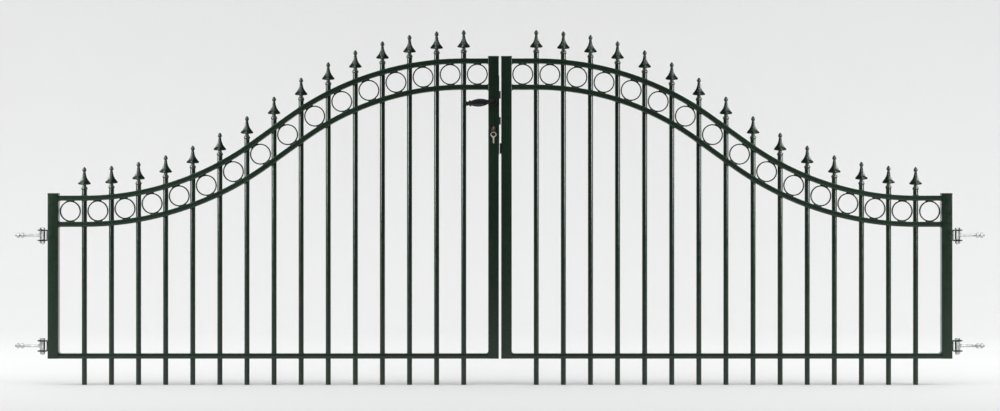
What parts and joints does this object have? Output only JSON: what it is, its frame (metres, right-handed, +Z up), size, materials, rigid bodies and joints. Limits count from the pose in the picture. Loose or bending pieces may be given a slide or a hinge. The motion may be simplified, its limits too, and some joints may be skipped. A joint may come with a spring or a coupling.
{
  "type": "wrought iron driveway gate",
  "caption": "Double-leaf driveway gate with a swan-neck top, round bars with spear finials, a band of rings, a lever lock and adjustable hinge eye bolts.",
  "frame": {"origin": "on the face of the left post's flange, at the axis of the lower left eye bolt", "axes": "+X along the opening towards the right post, +Z up, the front of the gate faces -Y"},
  "size_m": [3.22, 0.137, 1.178],
  "materials": {
    "green_paint": "satin moss green powder coat",
    "zinc": "bright zinc plate",
    "lock_steel": "dull steel",
    "black_iron": "satin black",
    "nickel": "nickel-plated brass",
    "cap_plastic": "moss green plastic"
  },
  "bodies": {
    "post_anchors": {"left_lower_eye_bolt": "zinc", "left_upper_eye_bolt": "zinc", "right_lower_eye_bolt": "zinc", "right_upper_eye_bolt": "zinc", "left_lower_nuts": "zinc", "left_upper_nuts": "zinc", "right_lower_nuts": "zinc", "right_upper_nuts": "zinc"},
    "left_leaf": {"left_hinge_stile": "green_paint", "left_lock_stile": "green_paint", "left_bottom_rail": "green_paint", "left_ring_rail": "green_paint", "left_top_rail": "green_paint", "left_bars": "green_paint", "left_finials": "green_paint", "left_rings": "green_paint", "left_stile_caps": "cap_plastic", "left_hinge_brackets": "green_paint", "left_hinge_bolts": "zinc", "lock_forend": "lock_steel", "lock_cylinder": "nickel", "front_rose": "black_iron", "rear_rose": "black_iron"},
    "right_leaf": {"right_hinge_stile": "green_paint", "right_meeting_stile": "green_paint", "right_bottom_rail": "green_paint", "right_ring_rail": "green_paint", "right_top_rail": "green_paint", "right_bars": "green_paint", "right_finials": "green_paint", "right_rings": "green_paint", "right_stile_caps": "cap_plastic", "right_hinge_brackets": "green_paint", "right_hinge_bolts": "zinc", "stop_block": "green_paint"},
    "handle": {"front_handle": "black_iron", "rear_handle": "black_iron", "handle_spindle": "lock_steel"},
    "latch": {"latch_bolt": "lock_steel"},
    "key": {"key": "nickel", "key_ring": "nickel", "spare_key": "nickel"},
    "dead_bolt": {"dead_bolt": "lock_steel"}
  },
  "joints": [
    {"name": "left_leaf_hinge", "type": "hinge", "parent": "post_anchors", "child": "left_leaf", "pos_m": [0.07, 0, 0], "axis": [0, 0, 1], "range_deg": [0, 90]},
    {"name": "right_leaf_hinge", "type": "hinge", "parent": "post_anchors", "child": "right_leaf", "pos_m": [3.11, 0, 0], "axis": [0, 0, -1], "range_deg": [0, 90]},
    {"name": "handle_turn", "type": "hinge", "parent": "left_leaf", "child": "handle", "pos_m": [1.5685, 0, 0.811], "axis": [0, -1, 0], "range_deg": [0, 40], "stiffness_Nm_per_rad": 1.2, "springref_deg": -22.92},
    {"name": "latch_slide", "type": "slide", "parent": "left_leaf", "child": "latch", "axis": [-1, 0, 0], "range_m": [0, 0.005]},
    {"name": "key_turn", "type": "hinge", "parent": "left_leaf", "child": "key", "pos_m": [1.5685, 0, 0.721], "axis": [0, -1, 0], "range_deg": [0, 360]},
    {"name": "dead_bolt_slide", "type": "slide", "parent": "left_leaf", "child": "dead_bolt", "axis": [-1, 0, 0], "range_m": [0, 0.005]}
  ],
  "couplings": [
    {"joint": "latch_slide", "follows": "handle_turn", "m_per_rad": 0.007162},
    {"joint": "dead_bolt_slide", "follows": "key_turn", "m_per_rad": 0.00079576}
  ]
}
